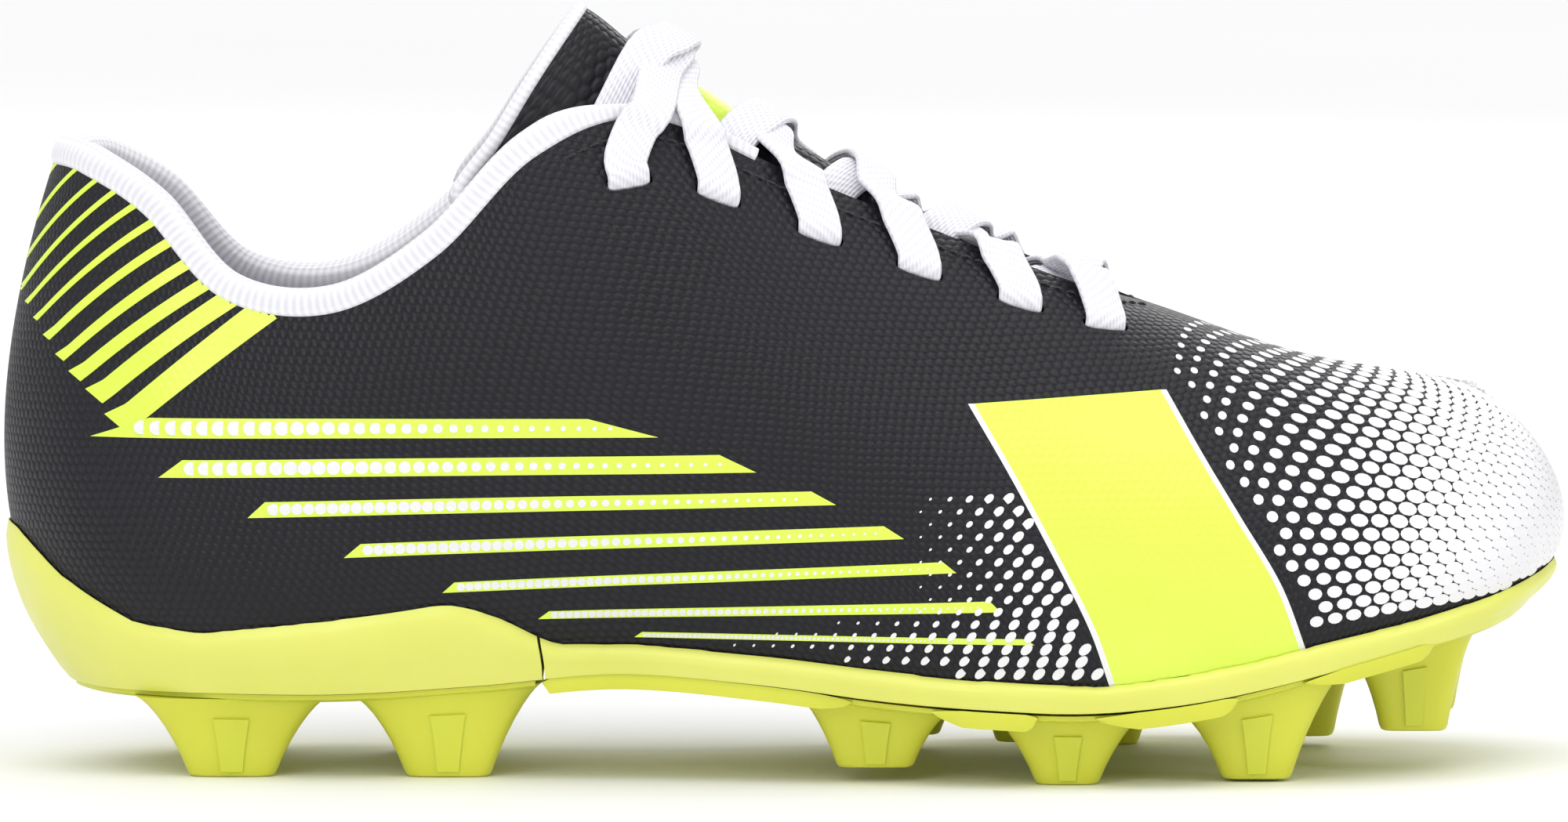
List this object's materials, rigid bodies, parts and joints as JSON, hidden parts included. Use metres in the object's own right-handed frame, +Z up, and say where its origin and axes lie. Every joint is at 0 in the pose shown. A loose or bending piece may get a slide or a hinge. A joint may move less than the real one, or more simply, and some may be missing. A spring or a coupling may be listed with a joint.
{
  "type": "soccer cleat",
  "caption": "Low-cut lace-up soccer cleat for the right foot, with an embossed synthetic upper, padded tongue, rolled collar and moulded studded sole.",
  "frame": {"origin": "on the ground, under the middle of the shoe's bounding box", "axes": "+X from heel to toe, +Y towards the inner (medial) side of the foot, +Z up from the ground"},
  "size_m": [0.2366, 0.0858, 0.1157],
  "materials": {
    "embossed_synthetic": "coated synthetic with fine embossed cells, satin",
    "white_textile": "plain woven tape and lining",
    "white_mesh": "spacer mesh",
    "pad_foam": "open-cell foam",
    "insole_fibre": "stitched non-woven board",
    "stiffener_sheet": "thermoplastic stiffener sheet",
    "lace_braid": "flat braided polyester",
    "aglet_film": "clear wound film",
    "pale_sole": "moulded, satin gloss",
    "bright_sole": "moulded, satin gloss",
    "neon_film": "heat-pressed film"
  },
  "bodies": {
    "shoe": {"upper": "embossed_synthetic", "eyestay_backing_lateral": "stiffener_sheet", "eyestay_backing_medial": "stiffener_sheet", "heel_counter": "stiffener_sheet", "toe_puff": "stiffener_sheet", "collar_foam": "pad_foam", "collar_lining": "white_mesh", "vamp_lining": "white_textile", "collar_binding": "white_textile", "lace": "lace_braid", "aglet_lateral": "aglet_film", "aglet_medial": "aglet_film", "insole_board": "insole_fibre", "sock_liner": "white_mesh", "heel_cup": "pale_sole", "sole_plate": "pale_sole", "heel_stud_frame": "bright_sole", "forefoot_stud_frame": "bright_sole"},
    "tongue": {"tongue_face": "embossed_synthetic", "tongue_foam": "pad_foam", "tongue_lining": "white_mesh", "tongue_binding": "white_textile", "tongue_label": "neon_film"}
  },
  "joints": [
    {"name": "tongue_tilt", "type": "hinge", "parent": "shoe", "child": "tongue", "pos_m": [0.0574, 0.0019, 0.0632], "axis": [0, -1, 0], "range_deg": [0, 12], "stiffness_Nm_per_rad": 0.5}
  ]
}
